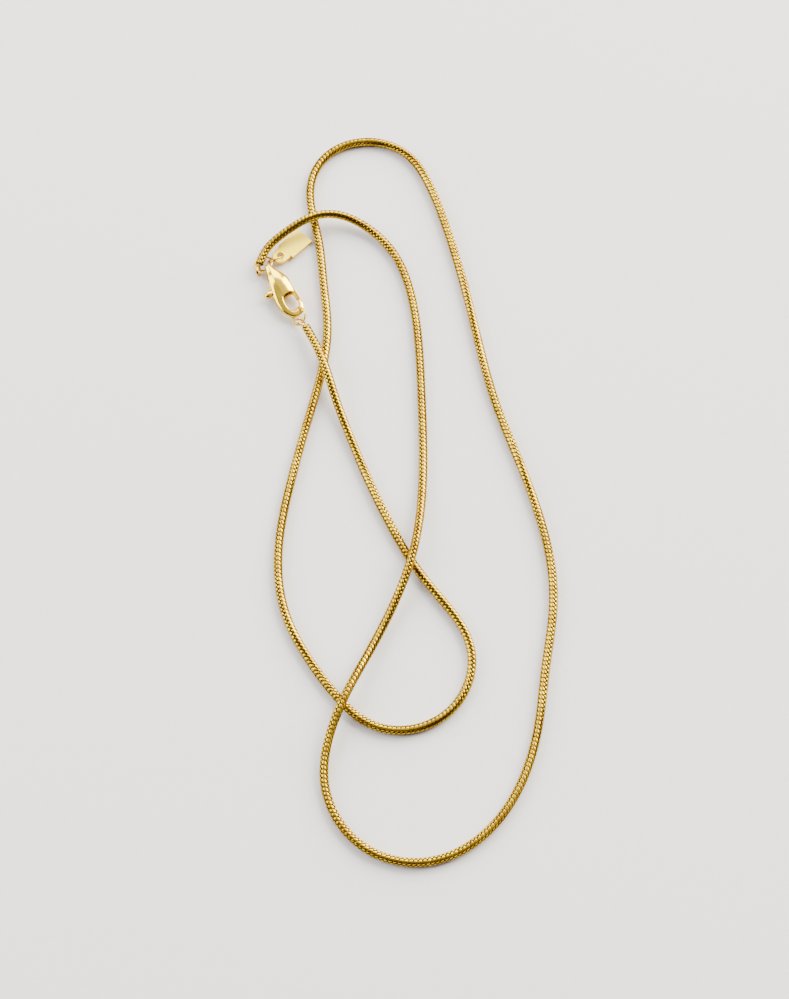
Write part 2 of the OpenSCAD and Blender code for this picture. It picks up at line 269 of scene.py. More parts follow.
def chainMaterial(look):
    material, tree = newMaterial("snakeChainGoldPlate")
    place = addNode(tree, "ShaderNodeTexCoord").outputs["Object"]
    patches, grain, stretches = (addNode(tree, "ShaderNodeTexNoise", {
        "Vector": place, "Scale": 1 / look[size], "Detail": detail}).outputs["Fac"]
        for size, detail in (("patch", 3), ("grain", 3), ("stretch", 1)))
    shade, groove = (addNode(tree, "ShaderNodeAttribute", attribute_name=look[name]).outputs["Fac"]
                     for name in ("shade", "groove"))
    wrap = addNode(tree, "ShaderNodeUVMap", uv_map=look["uv"])
    split = addNode(tree, "ShaderNodeSeparateXYZ", {"Vector": wrap.outputs["UV"]})
    # Way to the nearest seam as a share of the face, and to the nearest edge as a share of the link
    toSeam, toEdge = (addNode(tree, "ShaderNodeMath", {0: split.outputs[axis], 1: 0.5},
                              operation="PINGPONG").outputs[0] for axis in ("X", "Y"))
    # Painted shade along edges and seams, and along a faint crease down the middle of the faces that
    # shows on some stretches only
    edge, seam, crease, shown = (addNode(tree, "ShaderNodeMapRange", {
        "Value": value, "From Min": start, "From Max": end, "To Max": most},
        interpolation_type="SMOOTHSTEP").outputs["Result"] for value, start, end, most in (
            (toEdge, look["edgeWidth"], 0, 1),
            (toSeam, look["seamWidth"], 0, 1),
            (toSeam, 0.5 - look["creaseWidth"], 0.5, 1),
            (stretches, *look["stretchSpan"], look["creaseShare"])))
    creaseShown = addNode(tree, "ShaderNodeMath", {0: crease, 1: shown}, operation="MULTIPLY")
    dark = edge
    for share in (seam, creaseShown.outputs[0], groove):
        dark = addNode(tree, "ShaderNodeMath", {0: dark, 1: share}, operation="MAXIMUM").outputs[0]
    tone = addNode(tree, "ShaderNodeMath", {0: patches, 1: shade}, operation="ADD")
    gold = addNode(tree, "ShaderNodeMix", {
        "Factor": tone.outputs[0], "A": linear(look["gold"]), "B": linear(look["warmGold"])},
        data_type="RGBA")
    # Painted shade: the gold turns to the gap colour along edges, seams and the crease, and on the core
    colour = addNode(tree, "ShaderNodeMix", {
        "Factor": dark, "A": result(gold), "B": linear(look["gapShade"])}, data_type="RGBA")
    # The painted shade in the gaps isn't metal and doesn't shine
    rough, metal = (addNode(tree, "ShaderNodeMapRange", {
        "Value": dark, "To Min": scale, "To Max": gap}, interpolation_type="SMOOTHSTEP").outputs["Result"]
        for scale, gap in (look["roughness"], look["metallic"]))
    dent = addNode(tree, "ShaderNodeMath", {0: crease, 1: -look["creaseDepth"]}, operation="MULTIPLY")
    fine = addNode(tree, "ShaderNodeMath", {0: grain, 1: look["grainDepth"]}, operation="MULTIPLY")
    height = addNode(tree, "ShaderNodeMath", {0: dent.outputs[0], 1: fine.outputs[0]}, operation="ADD")
    bump = addNode(tree, "ShaderNodeBump", {"Height": height.outputs[0], "Strength": 1, "Distance": 1})
    shader = addNode(tree, "ShaderNodeBsdfPrincipled", {
        "Base Color": result(colour), "Metallic": metal, "Roughness": rough,
        "Specular Tint": linear(look["edgeGold"]), "Normal": bump.outputs["Normal"]})
    addNode(tree, "ShaderNodeOutputMaterial", {"Surface": shader.outputs["BSDF"]})
    return material


chainLook = {
    # Names of the links' map, of each link's own tone and of the mark on the core, which is painted all in
    # shade
    "uv": "linkWrap", "shade": "linkShade", "groove": "inGroove",
    # The last colour is painted shade, for the gaps between the scales and the core under them
    "gold": "#F2CE36", "warmGold": "#AC7C1C", "edgeGold": "#CCA63E", "gapShade": "#281804",
    # On the scales, and in the gaps
    "roughness": (0.2, 0.6), "metallic": (1, 0),
    "patch": 3.333 * mm, "grain": mm / 9, "grainDepth": 0.002 * mm,
    # Shares of a link's or a face's width that take painted shade on each side, and half the crease's width
    "edgeWidth": 0.21, "seamWidth": 0.07, "creaseWidth": 0.06,
    "creaseShare": 0.3, "creaseDepth": 0.006 * mm, "stretch": 16.67 * mm, "stretchSpan": (0.42, 0.6),
}
# Plated snake chain: bright scales over gaps darkened with painted shade
chainGold = chainMaterial(chainLook)
print("materials made")

# The chain's route from the hook's end to the tail's end, as in the part: metres, and a lift where
# 0 lies on the table and 1 passes over another strand
route = [
    (-0.0153, 0.0266, 0.62), (-0.0132, 0.0224, 0.95), (-0.0116, 0.0178, 1.2), (-0.0102, 0.013, 0.3),
    (-0.0075, 0.006, 0), (-0.0046, -0.0015, 0), (-0.0013, -0.0085, 0), (0.0022, -0.0151, 0),
    (0.0065, -0.0205, 0), (0.0102, -0.0254, 0), (0.0112, -0.0305, 0), (0.0098, -0.0357, 0),
    (0.0061, -0.0399, 0), (0.0003, -0.0418, 0), (-0.0055, -0.0405, 0), (-0.0101, -0.0358, 0),
    (-0.0145, -0.0295, 0), (-0.018, -0.023, 0), (-0.0193, -0.0155, 0), (-0.0188, -0.0075, 0),
    (-0.017, 0.001, 0), (-0.015, 0.0095, 0), (-0.0127, 0.018, 0), (-0.0114, 0.0263, 0),
    (-0.0126, 0.0345, 0), (-0.0131, 0.0425, 0), (-0.015, 0.049, 0), (-0.0151, 0.055, 0),
    (-0.0121, 0.0599, 0), (-0.0068, 0.0622, 0), (-0.0008, 0.0612, 0), (0.0033, 0.0573, 0),
    (0.0062, 0.05, 0), (0.0088, 0.041, 0), (0.011, 0.032, 0), (0.0128, 0.0225, 0),
    (0.015, 0.013, 0), (0.0185, 0.0038, 0), (0.0214, -0.005, 0), (0.0234, -0.0135, 0),
    (0.0237, -0.022, 0), (0.0219, -0.031, 0), (0.0211, -0.0395, 0), (0.019, -0.048, 0),
    (0.0149, -0.0554, 0), (0.009, -0.0604, 0), (0.0023, -0.0623, 0), (-0.0047, -0.0606, 0),
    (-0.0097, -0.0558, 0), (-0.0121, -0.049, 0), (-0.0109, -0.042, 0.5), (-0.0083, -0.0358, 1.5),
    (-0.0044, -0.0281, 0.1), (-0.0008, -0.0209, 0.5), (0.002, -0.0137, 1.5), (0.0034, -0.004, 0),
    (0.0036, 0.006, 0), (0.0033, 0.015, 0), (0.003, 0.024, 0), (0.0021, 0.032, 0),
    (-0.0002, 0.04, 0), (-0.0049, 0.0452, 0.1), (-0.01, 0.0475, 0.8), (-0.0144, 0.0467, 1.3),
    (-0.0182, 0.0442, 1.05), (-0.022, 0.0412, 0.68), (-0.023, 0.0381, 0.45),
]
# How the chain is twisted as it lies: share of its length in percent, and how far one seam has
# turned from the top towards the right of travel, in degrees
seamTurns = [
    (0, 40), (3, 20), (5, 5), (6, -15), (8, -30), (9, -40), (10, -70), (12, -80), (13.5, -100),
    (15.5, -130), (17, -150), (20, -170), (21.5, -200), (24, -215), (26.5, -222), (28, -255),
    (30, -275), (33, -295), (38, -310), (41, -296), (42, -320), (43, -358), (45, -386), (47, -388),
    (48, -372), (50, -340), (52, -318), (54, -294), (56, -250), (57.5, -225), (59.5, -195),
    (63, -202), (65, -230), (69, -247), (72, -244), (75, -225), (77, -193), (80, -228), (84, -280),
    (87.5, -307), (90, -316), (93, -318), (95, -308), (100, -300),
]

chain = {
    "radius": 0.65 * mm,
    "crossGap": 0.16 * mm,
    "pitch": 0.687 * mm,
    "stepsPerSpan": 12,
    # One link has four faces with a leaning scale on each, and steps back at each seam. The columns
    # are shares of the way from seam to seam, the lean and the half widths are shares of the pitch, and
    # the heights of crown and edge are shares of the section's radius.
    "faces": 4,
    "columns": (0.04, 0.21, 0.36, 0.5, 0.64, 0.79, 0.96),
    "lean": 0.68,
    "widthAtSeam": 0.13,
    "widthAtMiddle": 0.5,
    "widening": 1.42,
    "widthPower": 1.45,
    "crownShare": 0.58,
    "crownAtSeam": 0.95,
    "edgeAtSeam": 0.81,
    "edgeAtMiddle": 0.945,
    "edgePower": 0.6,
    # Section between a circle, at 2, and a square with the seams on its corners
    "squarePower": 2.2,
    "cornerRadius": 0.69 * mm,
    "coreDepth": 0.01,
    "coreSides": 16,
    "linkTrim": 0.38 * mm,
    "lift": 0.035 * mm,
    "seed": 4,
    "shadeSpread": 0.35,
}

# Where the clasp lies by the same route: its tail, its heading and its pin, x from tail to hook and
# y to the gate's side
claspLies = {"tail": (-21.85 * mm, 38.1 * mm), "turn": -60, "pin": (4.32 * mm, 0.3515 * mm)}


def boxMiddle(node):
    low, high = (Vector(corner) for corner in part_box(node))
    return (low + high) / 2


def routeShift():
    # The part's own middle lies a little off the route's: the clasp's pin shows by how much.
    turn = Matrix.Rotation(math.radians(claspLies["turn"]), 2)
    drawn = Vector(claspLies["tail"]) + turn @ Vector(claspLies["pin"])
    return Vector((*(boxMiddle("clasp_pin").xy - drawn), 0))


def knot(i):
    last = len(route) - 1
    if i < 0:
        return 2 * knot(0) - knot(1)
    if i > last:
        return 2 * knot(last) - knot(last - 1)
    x, y, lift = route[i]
    return Vector((x, y, chain["radius"] + lift * (2 * chain["radius"] + chain["crossGap"])))


def routePoint(i, t):
    # Uniform cubic B-spline: the place at share t of the span that starts near knot i
    a, b, c, d = (knot(i + k) for k in (-1, 0, 1, 2))
    return ((1 - t) ** 3 * a + (3 * t ** 3 - 6 * t ** 2 + 4) * b
            + (3 * t ** 2 - 3 * t ** 3 + 3 * t + 1) * c + t ** 3 * d) / 6


def chainPath():
    steps = chain["stepsPerSpan"]
    path = [routePoint(i, k / steps) for i in range(len(route) - 1) for k in range(steps)]
    path.append(routePoint(len(route) - 2, 1))
    return [p + shift + Vector((0, 0, chain["lift"])) for p in path]


def blendedTurn(share):
    # Seam turn at a share of the length, in proportion between the rows around it
    for (a, low), (b, high) in zip(seamTurns, seamTurns[1:]):
        if share <= b:
            t = (share - a) / (b - a)
            return math.radians(low + (high - low) * t)
    return math.radians(seamTurns[-1][1])


def arch(share):
    # 0 at a face's seams and 1 at its middle
    return math.sin(math.pi * share)


def sectionRadius(share):
    # Distance of the chain's surface from its axis, at a share of the way from one seam to the next
    off = (share - 0.5) * 2 * math.pi / chain["faces"]
    power = chain["squarePower"]
    atCorner = 2 ** (1 / power - 0.5) * chain["cornerRadius"]
    return atCorner / (math.cos(off) ** power + abs(math.sin(off)) ** power) ** (1 / power)


def edgeDepth(share):
    # Depth of a link's edges as a share of that distance: deepest at the seams
    atSeam, atMiddle = chain["edgeAtSeam"], chain["edgeAtMiddle"]
    return atSeam + (atMiddle - atSeam) * arch(share) ** chain["edgePower"]


def linkPiece():
    # One link round the z axis, which is the heading of the chain: four leaning scales, with their
    # narrow ends at the seams. A seam lies towards x.
    columns, pitch = chain["columns"], chain["pitch"]
    atSeam, atMiddle = chain["widthAtSeam"], chain["widthAtMiddle"]
    crown = chain["crownShare"]
    perColumn = 4
    points, wraps, faces = [], [], []
    for face in range(chain["faces"]):
        for i, share in enumerate(columns):
            angle = (face + share) * 2 * math.pi / chain["faces"]
            middle = -chain["lean"] * (share - 0.5) * pitch
            fullness = min(1, chain["widening"] * arch(share)) ** chain["widthPower"]
            half = atSeam + (atMiddle - atSeam) * fullness
            edge = edgeDepth(share)
            top = chain["crownAtSeam"] if i in (0, len(columns) - 1) else 1
            for across, radius in ((-1, edge), (-crown, top), (crown, top), (1, edge)):
                r = radius * sectionRadius(share)
                points.append((r * math.cos(angle), r * math.sin(angle), middle + across * half * pitch))
                wraps.append((face + share, (across + 1) / 2))
            if i:
                here = len(points) - perColumn
                before = here - perColumn
                faces += [(before + k, here + k, here + k + 1, before + k + 1)
                          for k in range(perColumn - 1)]
    piece = meshPiece("link", points, faces)
    uv = piece.data.uv_layers.new(name=chainLook["uv"])
    for loop in piece.data.loops:
        uv.data[loop.index].uv = wraps[loop.vertex_index]
    piece.data.shade_smooth()
    return piece


def coreSection():
    # Outline of the core, a little inside the links' edges
    sides = chain["coreSides"]
    points = []
    for k in range(sides):
        angle = 2 * math.pi * k / sides
        share = angle * chain["faces"] / (2 * math.pi) % 1
        r = (edgeDepth(share) - chain["coreDepth"]) * sectionRadius(share)
        points.append((r * math.cos(angle), r * math.sin(angle), 0))
    return meshPiece("section", points, [], [(k, (k + 1) % sides) for k in range(sides)])


def chainTree():
    tree = bpy.data.node_groups.new("snakeChain", "GeometryNodeTree")
    for name, kind in (("Geometry", "Geometry"), ("Link", "Object"), ("Core Section", "Object"),
                       ("Pitch", "Float"), ("Link Trim", "Float"), ("Seed", "Int"),
                       ("Shade Spread", "Float"), ("Material", "Material")):
        tree.interface.new_socket(name, in_out="INPUT", socket_type="NodeSocket" + kind)
    tree.interface.new_socket("Geometry", in_out="OUTPUT", socket_type="NodeSocketGeometry")
    given = addNode(tree, "NodeGroupInput").outputs
    line = addNode(tree, "GeometryNodeMeshToCurve", {"Mesh": given["Geometry"]})
    upright = addNode(tree, "GeometryNodeSetCurveNormal", {"Curve": line.outputs["Curve"]}, mode="Z_UP")
    turn = addNode(tree, "GeometryNodeInputNamedAttribute", {"Name": "seamTurn"}, data_type="FLOAT")
    twisted = addNode(tree, "GeometryNodeSetCurveTilt", {
        "Curve": upright.outputs["Curve"], "Tilt": turn.outputs["Attribute"]}).outputs["Curve"]
    # Links at one pitch along the route, the last ones just clear of the end loops
    length = addNode(tree, "GeometryNodeCurveLength", {"Curve": twisted}).outputs["Length"]
    lastAt = addNode(tree, "ShaderNodeMath", {0: length, 1: given["Link Trim"]}, operation="SUBTRACT")
    trimmed = addNode(tree, "GeometryNodeTrimCurve", {
        "Curve": twisted, "Start": given["Link Trim"], "End": lastAt.outputs[0]}, mode="LENGTH")
    stepped = addNode(tree, "GeometryNodeResampleCurve", {
        "Curve": trimmed.outputs["Curve"], "Length": given["Pitch"]}, mode="LENGTH")
    places = addNode(tree, "GeometryNodeCurveToPoints", {
        "Curve": stepped.outputs["Curve"]}, mode="EVALUATED")
    link = addNode(tree, "GeometryNodeObjectInfo", {"Object": given["Link"]})
    links = addNode(tree, "GeometryNodeInstanceOnPoints", {
        "Points": places.outputs["Points"], "Instance": link.outputs["Geometry"],
        "Rotation": places.outputs["Rotation"]})
    shades = addNode(tree, "FunctionNodeRandomValue", {
        "Max": given["Shade Spread"], "Seed": given["Seed"]}, data_type="FLOAT")
    shaded = addNode(tree, "GeometryNodeStoreNamedAttribute", {
        "Geometry": links.outputs["Instances"], "Name": chainLook["shade"],
        "Value": result(shades)}, data_type="FLOAT", domain="INSTANCE")
    # Core that shows in the gaps, marked so that it is painted all in shade
    section = addNode(tree, "GeometryNodeObjectInfo", {"Object": given["Core Section"]})
    outline = addNode(tree, "GeometryNodeMeshToCurve", {"Mesh": section.outputs["Geometry"]})
    coreLine = addNode(tree, "GeometryNodeResampleCurve", {
        "Curve": twisted, "Length": given["Pitch"]}, mode="LENGTH")
    core = addNode(tree, "GeometryNodeCurveToMesh", {
        "Curve": coreLine.outputs["Curve"], "Profile Curve": outline.outputs["Curve"], "Fill Caps": True})
    marked = addNode(tree, "GeometryNodeStoreNamedAttribute", {
        "Geometry": core.outputs["Mesh"], "Name": chainLook["groove"], "Value": 1.0},
        data_type="FLOAT", domain="POINT")
    both = addNode(tree, "GeometryNodeJoinGeometry")
    tree.links.new(shaded.outputs["Geometry"], both.inputs["Geometry"])
    tree.links.new(marked.outputs["Geometry"], both.inputs["Geometry"])
    real = addNode(tree, "GeometryNodeRealizeInstances", {"Geometry": both.outputs["Geometry"]})
    painted = addNode(tree, "GeometryNodeSetMaterial", {
        "Geometry": real.outputs["Geometry"], "Material": given["Material"]})
    addNode(tree, "NodeGroupOutput", {"Geometry": painted.outputs["Geometry"]})
    return tree


def snakeChain(path):
    piece = meshPiece("snakeChainPiece", path, [], [(i, i + 1) for i in range(len(path) - 1)])
    lengths = [0]
    for a, b in zip(path, path[1:]):
        lengths.append(lengths[-1] + (b - a).length)
    # The curve's own normal starts to the right of travel, a quarter turn from the top.
    quarter = math.pi / 2
    turns = [blendedTurn(100 * s / lengths[-1]) - quarter for s in lengths]
    piece.data.attributes.new("seamTurn", "FLOAT", "POINT").data.foreach_set("value", turns)
    link, section = linkPiece(), coreSection()
    nodes = piece.modifiers.new("links", "NODES")
    nodes.node_group = chainTree()
    values = {"Link": link, "Core Section": section, "Material": chainGold,
              "Pitch": chain["pitch"], "Link Trim": chain["linkTrim"],
              "Seed": chain["seed"], "Shade Spread": chain["shadeSpread"]}
    for socket in nodes.node_group.interface.items_tree:
        if socket.in_out == "INPUT" and socket.name in values:
            nodes[socket.identifier] = values[socket.name]
    evaluated(piece)
    drop(link)
    drop(section)
    print("chain length", round(lengths[-1] / mm, 1), "mm, faces", len(piece.data.polygons))
    return piece


shift = routeShift()
path = chainPath()
finished(snakeChain(path), chainGold, "chain_gold", "necklace", "chain")


# Rings of round wire
ringMesh = {"steps": 96, "sides": 20, "sharpFrom": 50}


def ringPlace(at, turn, tilt):
    # Turn is the heading of the ring's long line, and tilt raises its left side
    return (Matrix.Translation(at) @ Matrix.Rotation(math.radians(turn), 4, "Z")
            @ Matrix.Rotation(math.radians(tilt), 4, "X"))


def wireRing(name, outer, wire, place, cutAt=0, cut=0):
    # A whole ring, or one with a fine closing cut at that angle
    steps, sides = ringMesh["steps"], ringMesh["sides"]
    middle = (outer - wire) / 2
    half = cut / middle / 2
    up = Vector((0, 0, 1))
    rings = []
    for i in range(steps + 1 if cut else steps):
        a = math.radians(cutAt) + half + (2 * math.pi - 2 * half) * i / steps
        out = Vector((math.cos(a), math.sin(a), 0))
        rings.append([place @ (middle * out + wire / 2 * (math.cos(b) * out + math.sin(b) * up))
                      for b in (2 * math.pi * k / sides for k in range(sides))])
    piece = meshPiece(name, *loftRings(rings, closed=not cut))
    shadeSmooth(piece.data, ringMesh["sharpFrom"])
    return piece


jumpRings = {
    "hook_ring": {"outer": 3.16 * mm, "wire": 0.3 * mm, "turn": 104, "tilt": -44, "cutAt": 200},
    "tail_ring": {"outer": 3.2 * mm, "wire": 0.3 * mm, "turn": 40, "tilt": -17, "cutAt": 60},
    "tag_ring": {"outer": 2.74 * mm, "wire": 0.3 * mm, "turn": 27, "tilt": -58, "cutAt": 100},
}
closingCut = 0.03 * mm
for node, ring in jumpRings.items():
    place = ringPlace(boxMiddle(node), ring["turn"], ring["tilt"])
    # hook_ring gives hookRingPiece
    name = node.replace("_r", "R") + "Piece"
    piece = wireRing(name, ring["outer"], ring["wire"], place, ring["cutAt"], closingCut)
    finished(piece, polishedGold, "polished_gold", "necklace", node)
print("jump rings made")

# End loops: a bead on the chain's end, a neck and a loop of wire
endLoop = {
    "outer": 1.7 * mm, "wire": 0.38 * mm, "reach": 1.15 * mm, "neck": 0.44 * mm, "gap": 0.02 * mm,
    # The bead's width and height, its rounded edge, and its foot and tip as shares of its width
    "bead": 0.8 * mm, "beadHeight": 0.3 * mm, "beadEdge": 0.08 * mm, "beadTip": 0.02 * mm,
    "footShare": 0.42, "tipShare": 0.3,
    "sides": 20, "voxel": 0.025 * mm, "smoothing": 6,
}
# Each one's piece, its end of the path and the point next to it, and how its ring lies from there
endLoops = {
    "loop_start": {"name": "loopStartPiece", "points": (0, 1), "heading": (-1, 1, 0),
                   "turn": 135, "tilt": 35},
    "loop_end": {"name": "loopEndPiece", "points": (-1, -2), "heading": (-0.1, -0.96, -0.42),
                 "turn": 85, "tilt": 66},
}


def endLoopPiece(name, points, heading, turn, tilt):
    end, before = (path[i] for i in points)
    away = (end - before).normalized()
    foot = end + away * endLoop["gap"]
    top = foot + away * endLoop["beadHeight"]
    at = end + endLoop["reach"] * Vector(heading).normalized()
    ring = wireRing("ring", endLoop["outer"], endLoop["wire"], ringPlace(at, turn, tilt))
    inward = (at - top).normalized()
    reach = (at - top).length - (endLoop["outer"] - endLoop["wire"]) / 2
    neckPath = [top - inward * endLoop["gap"], top + inward * reach]
    neck = meshPiece("neck", *loftRings(tubeRings(neckPath, [endLoop["neck"] / 2] * 2, endLoop["sides"])))
    edge = away * endLoop["beadEdge"]
    beadPath = [foot, foot + edge, top - edge, top + away * endLoop["beadTip"]]
    beadRadii = [share * endLoop["bead"] for share in (endLoop["footShare"], 0.5, 0.5, endLoop["tipShare"])]
    bead = meshPiece("bead", *loftRings(tubeRings(beadPath, beadRadii, endLoop["sides"])))
    return fused(name, [ring, neck, bead], [], endLoop["voxel"], endLoop["smoothing"])


for node, loop in endLoops.items():
    finished(endLoopPiece(**loop), polishedGold, "polished_gold", "necklace", node)
print("end loops made")

# Tag: a small plain plate with a round head, a hole and a notch on each side. Its own frame has the
# hole's middle at 0 and its length along x.
tag = {
    "width": 3.3 * mm, "length": 5.7 * mm, "thick": 0.5 * mm, "hole": 1.15 * mm, "head": 2.6 * mm,
    "notchStart": 0.99 * mm, "notchEnd": 1.23 * mm, "notch": 0.12 * mm, "corner": 0.12 * mm,
    "turn": 46, "lean": 4.5, "holeAt": (-19.68 * mm, 39.92 * mm), "gap": 0.02 * mm,
    "edge": 0.05 * mm, "edgeSteps": 3, "roundSteps": 48, "cornerSteps": 8,
    "sharpFrom": 6, "merge": 0.0005 * mm,
}


def tagOutline():
    head, half, far = tag["head"] / 2, tag["width"] / 2, tag["length"]
    start, end, depth, corner = tag["notchStart"], tag["notchEnd"], tag["notch"], tag["corner"]
    steps = tag["roundSteps"]
    outline = [(head * math.cos(a), head * math.sin(a))
               for a in (math.pi / 2 + math.pi * k / steps for k in range(steps + 1))]
    right = [(start, -head), (start, depth - head), (end, depth - head), (end, -half)]
    steps = tag["cornerSteps"]
    right += [(far - corner + corner * math.sin(a), -half + corner - corner * math.cos(a))
              for a in (math.pi / 2 * k / steps for k in range(steps + 1))]
    return outline + right + [(x, -y) for x, y in reversed(right)]


def tagPiece():
    flat = bpy.data.curves.new("tag", "CURVE")
    flat.dimensions = "2D"
    flat.fill_mode = "BOTH"
    flat.extrude = tag["thick"] / 2 - tag["edge"]
    flat.bevel_depth = tag["edge"]
    flat.bevel_resolution = tag["edgeSteps"]
    flat.offset = -tag["edge"]
    for points in (tagOutline(), circle((0, 0), tag["hole"] / 2, tag["roundSteps"])[::-1]):
        spline = flat.splines.new("POLY")
        spline.points.add(len(points) - 1)
        for point, (x, y) in zip(spline.points, points):
            point.co = (x, y, 0, 1)
        spline.use_cyclic_u = True
    drawn = bpy.data.objects.new("tagOutline", flat)
    bpy.context.scene.collection.objects.link(drawn)
    mesh = bpy.data.meshes.new_from_object(drawn.evaluated_get(bpy.context.evaluated_depsgraph_get()))
    bpy.data.objects.remove(drawn)
    bpy.data.curves.remove(flat)
    lean = math.radians(tag["lean"])
    at = Vector((*tag["holeAt"], tag["length"] * math.sin(lean) + tag["gap"])) + shift
    place = (Matrix.Translation(at) @ Matrix.Rotation(math.radians(tag["turn"]), 4, "Z")
             @ Matrix.Rotation(lean, 4, "Y") @ Matrix.Translation((0, 0, tag["thick"] / 2)))
    mesh.transform(place)
    mesh.name = "tagPiece"
    piece = bpy.data.objects.new("tagPiece", mesh)
    bpy.context.scene.collection.objects.link(piece)
    merge = piece.modifiers.new("merge", "WELD")
    merge.merge_threshold = tag["merge"]
    evaluated(piece)
    shadeSmooth(piece.data, tag["sharpFrom"])
    return piece


finished(tagPiece(), satinGold, "satin_gold", "necklace", "tag")
print("tag made")

# Clasp frame: x runs from the tail to the hook, y to the gate's side, z up from the middle plane.
clasp = {
    "length": 10.8 * mm, "front": 6.75 * mm, "halfWidth": 1.85 * mm, "middle": 1.1 * mm,
    "pin": claspLies["pin"], "slot": 0.96 * mm, "hookLength": 4.05 * mm,
    # Sections: how far the long slope falls from the crease, how full each side is, and where the
    # hook's crease lies as a share of its radius
    "slopeFall": 0.38, "roundPower": 2.3, "slopePower": 9, "sectionSteps": 12, "hookCrease": 0.45,
    "rowSteps": 5, "voxel": 0.045 * mm, "smoothing": 10,
}
clasp["place"] = (Matrix.Translation((*boxMiddle("clasp_pin").xy, clasp["middle"]))
                  @ Matrix.Rotation(math.radians(claspLies["turn"]), 4, "Z")
                  @ Matrix.Translation((-clasp["pin"][0], -clasp["pin"][1], 0)))
# Body sections from the tail to the blunt front: x, left side, right side, ridge, top, in millimetres
bodyRows = [
    (0.00, -0.18, 0.18, 0.00, 0.16),
    (0.12, -0.38, 0.38, 0.00, 0.40),
    (0.38, -0.54, 0.54, 0.00, 0.60),
    (0.90, -0.66, 0.70, -0.02, 0.70),
    (1.65, -0.88, 1.02, -0.14, 0.80),
    (2.60, -1.22, 1.50, -0.32, 0.98),
    (3.60, -1.50, 1.84, -0.42, 1.09),
    (4.70, -1.76, 1.92, -0.44, 1.09),
    (5.60, -1.94, 1.86, -0.40, 1.03),
    (6.30, -2.02, 1.78, -0.36, 0.96),
    (6.75, -2.03, 1.68, -0.34, 0.90),
]
# Hook from its root round the bend to its tip: x back from the hook's end as a share of its length,
# then y and radius as shares of half the body's width. The root is thick, to flow into the body.
hookRows = [
    (1.24, -0.64, 0.48),
    (1.04, -0.67, 0.45),
    (0.90, -0.75, 0.40),
    (0.56, -0.76, 0.33),
    (0.31, -0.60, 0.29),
    (0.13, -0.28, 0.26),
    (0.126, 0.14, 0.25),
    (0.20, 0.50, 0.23),
    (0.38, 0.72, 0.20),
    (0.52, 0.79, 0.17),
    (0.60, 0.79, 0.13),
]


def eased(rows, steps):
    # Rows of numbers, with more between them on smooth curves that pass through each row
    out = []
    for i in range(len(rows) - 1):
        a, b, c, d = (rows[max(0, min(len(rows) - 1, i + k))] for k in (-1, 0, 1, 2))
        for s in range(steps):
            t = s / steps
            out.append([0.5 * (2 * q + (r - p) * t + (2 * p - 5 * q + 4 * r - w) * t ** 2
                               + (3 * q - p - 3 * r + w) * t ** 3) for p, q, r, w in zip(a, b, c, d)])
    out.append(list(rows[-1]))
    return out


def ridgedSection(left, right, ridge, top):
    # Section with a crease: a long flat slope on its left side and a full round one on its right
    steps = clasp["sectionSteps"]
    upper = []
    for k in range(steps + 1):
        q = 1 - math.cos(math.pi / 2 * k / steps)
        upper.append((right + (ridge - right) * q, top * (1 - (1 - q) ** clasp["roundPower"]) ** 0.5))
    for k in range(1, steps + 1):
        q = math.sin(math.pi / 2 * k / steps)
        fall = 1 - clasp["slopeFall"] * q
        upper.append((ridge + (left - ridge) * q, top * fall * (1 - q ** clasp["slopePower"]) ** 0.5))
    lower = [(y, -z) for y, z in reversed(upper[1:-1])]
    return upper + lower


# Cuts in the clasp's body. The slot's plan: its back, the step in front of the pin and the wall left
# behind the window, how far back its mouth is, and what is left of the side at the pin and at the back
claspCuts = {
    "back": 0.4 * clasp["front"], "step": 1.23 * mm, "wall": -clasp["halfWidth"] / 3, "mouth": 0.75 * mm,
    "beforePin": 0.2 * mm, "sideAtPin": 0.45 * mm, "sideAtBack": 0.65 * mm,
    "tailHoleAt": 0.7 * mm, "tailHole": 0.4 * mm,
    "pinHole": 0.37 * mm, "pinHoleRise": 0.3 * mm,
    # The window's start is hollowed a little, by an oval cutter
    "hollowAhead": 0.33 * mm, "hollowSide": 0.37 * mm, "hollowHalf": (0.66 * mm, 1.03 * mm),
    "reach": 2 * mm,
}


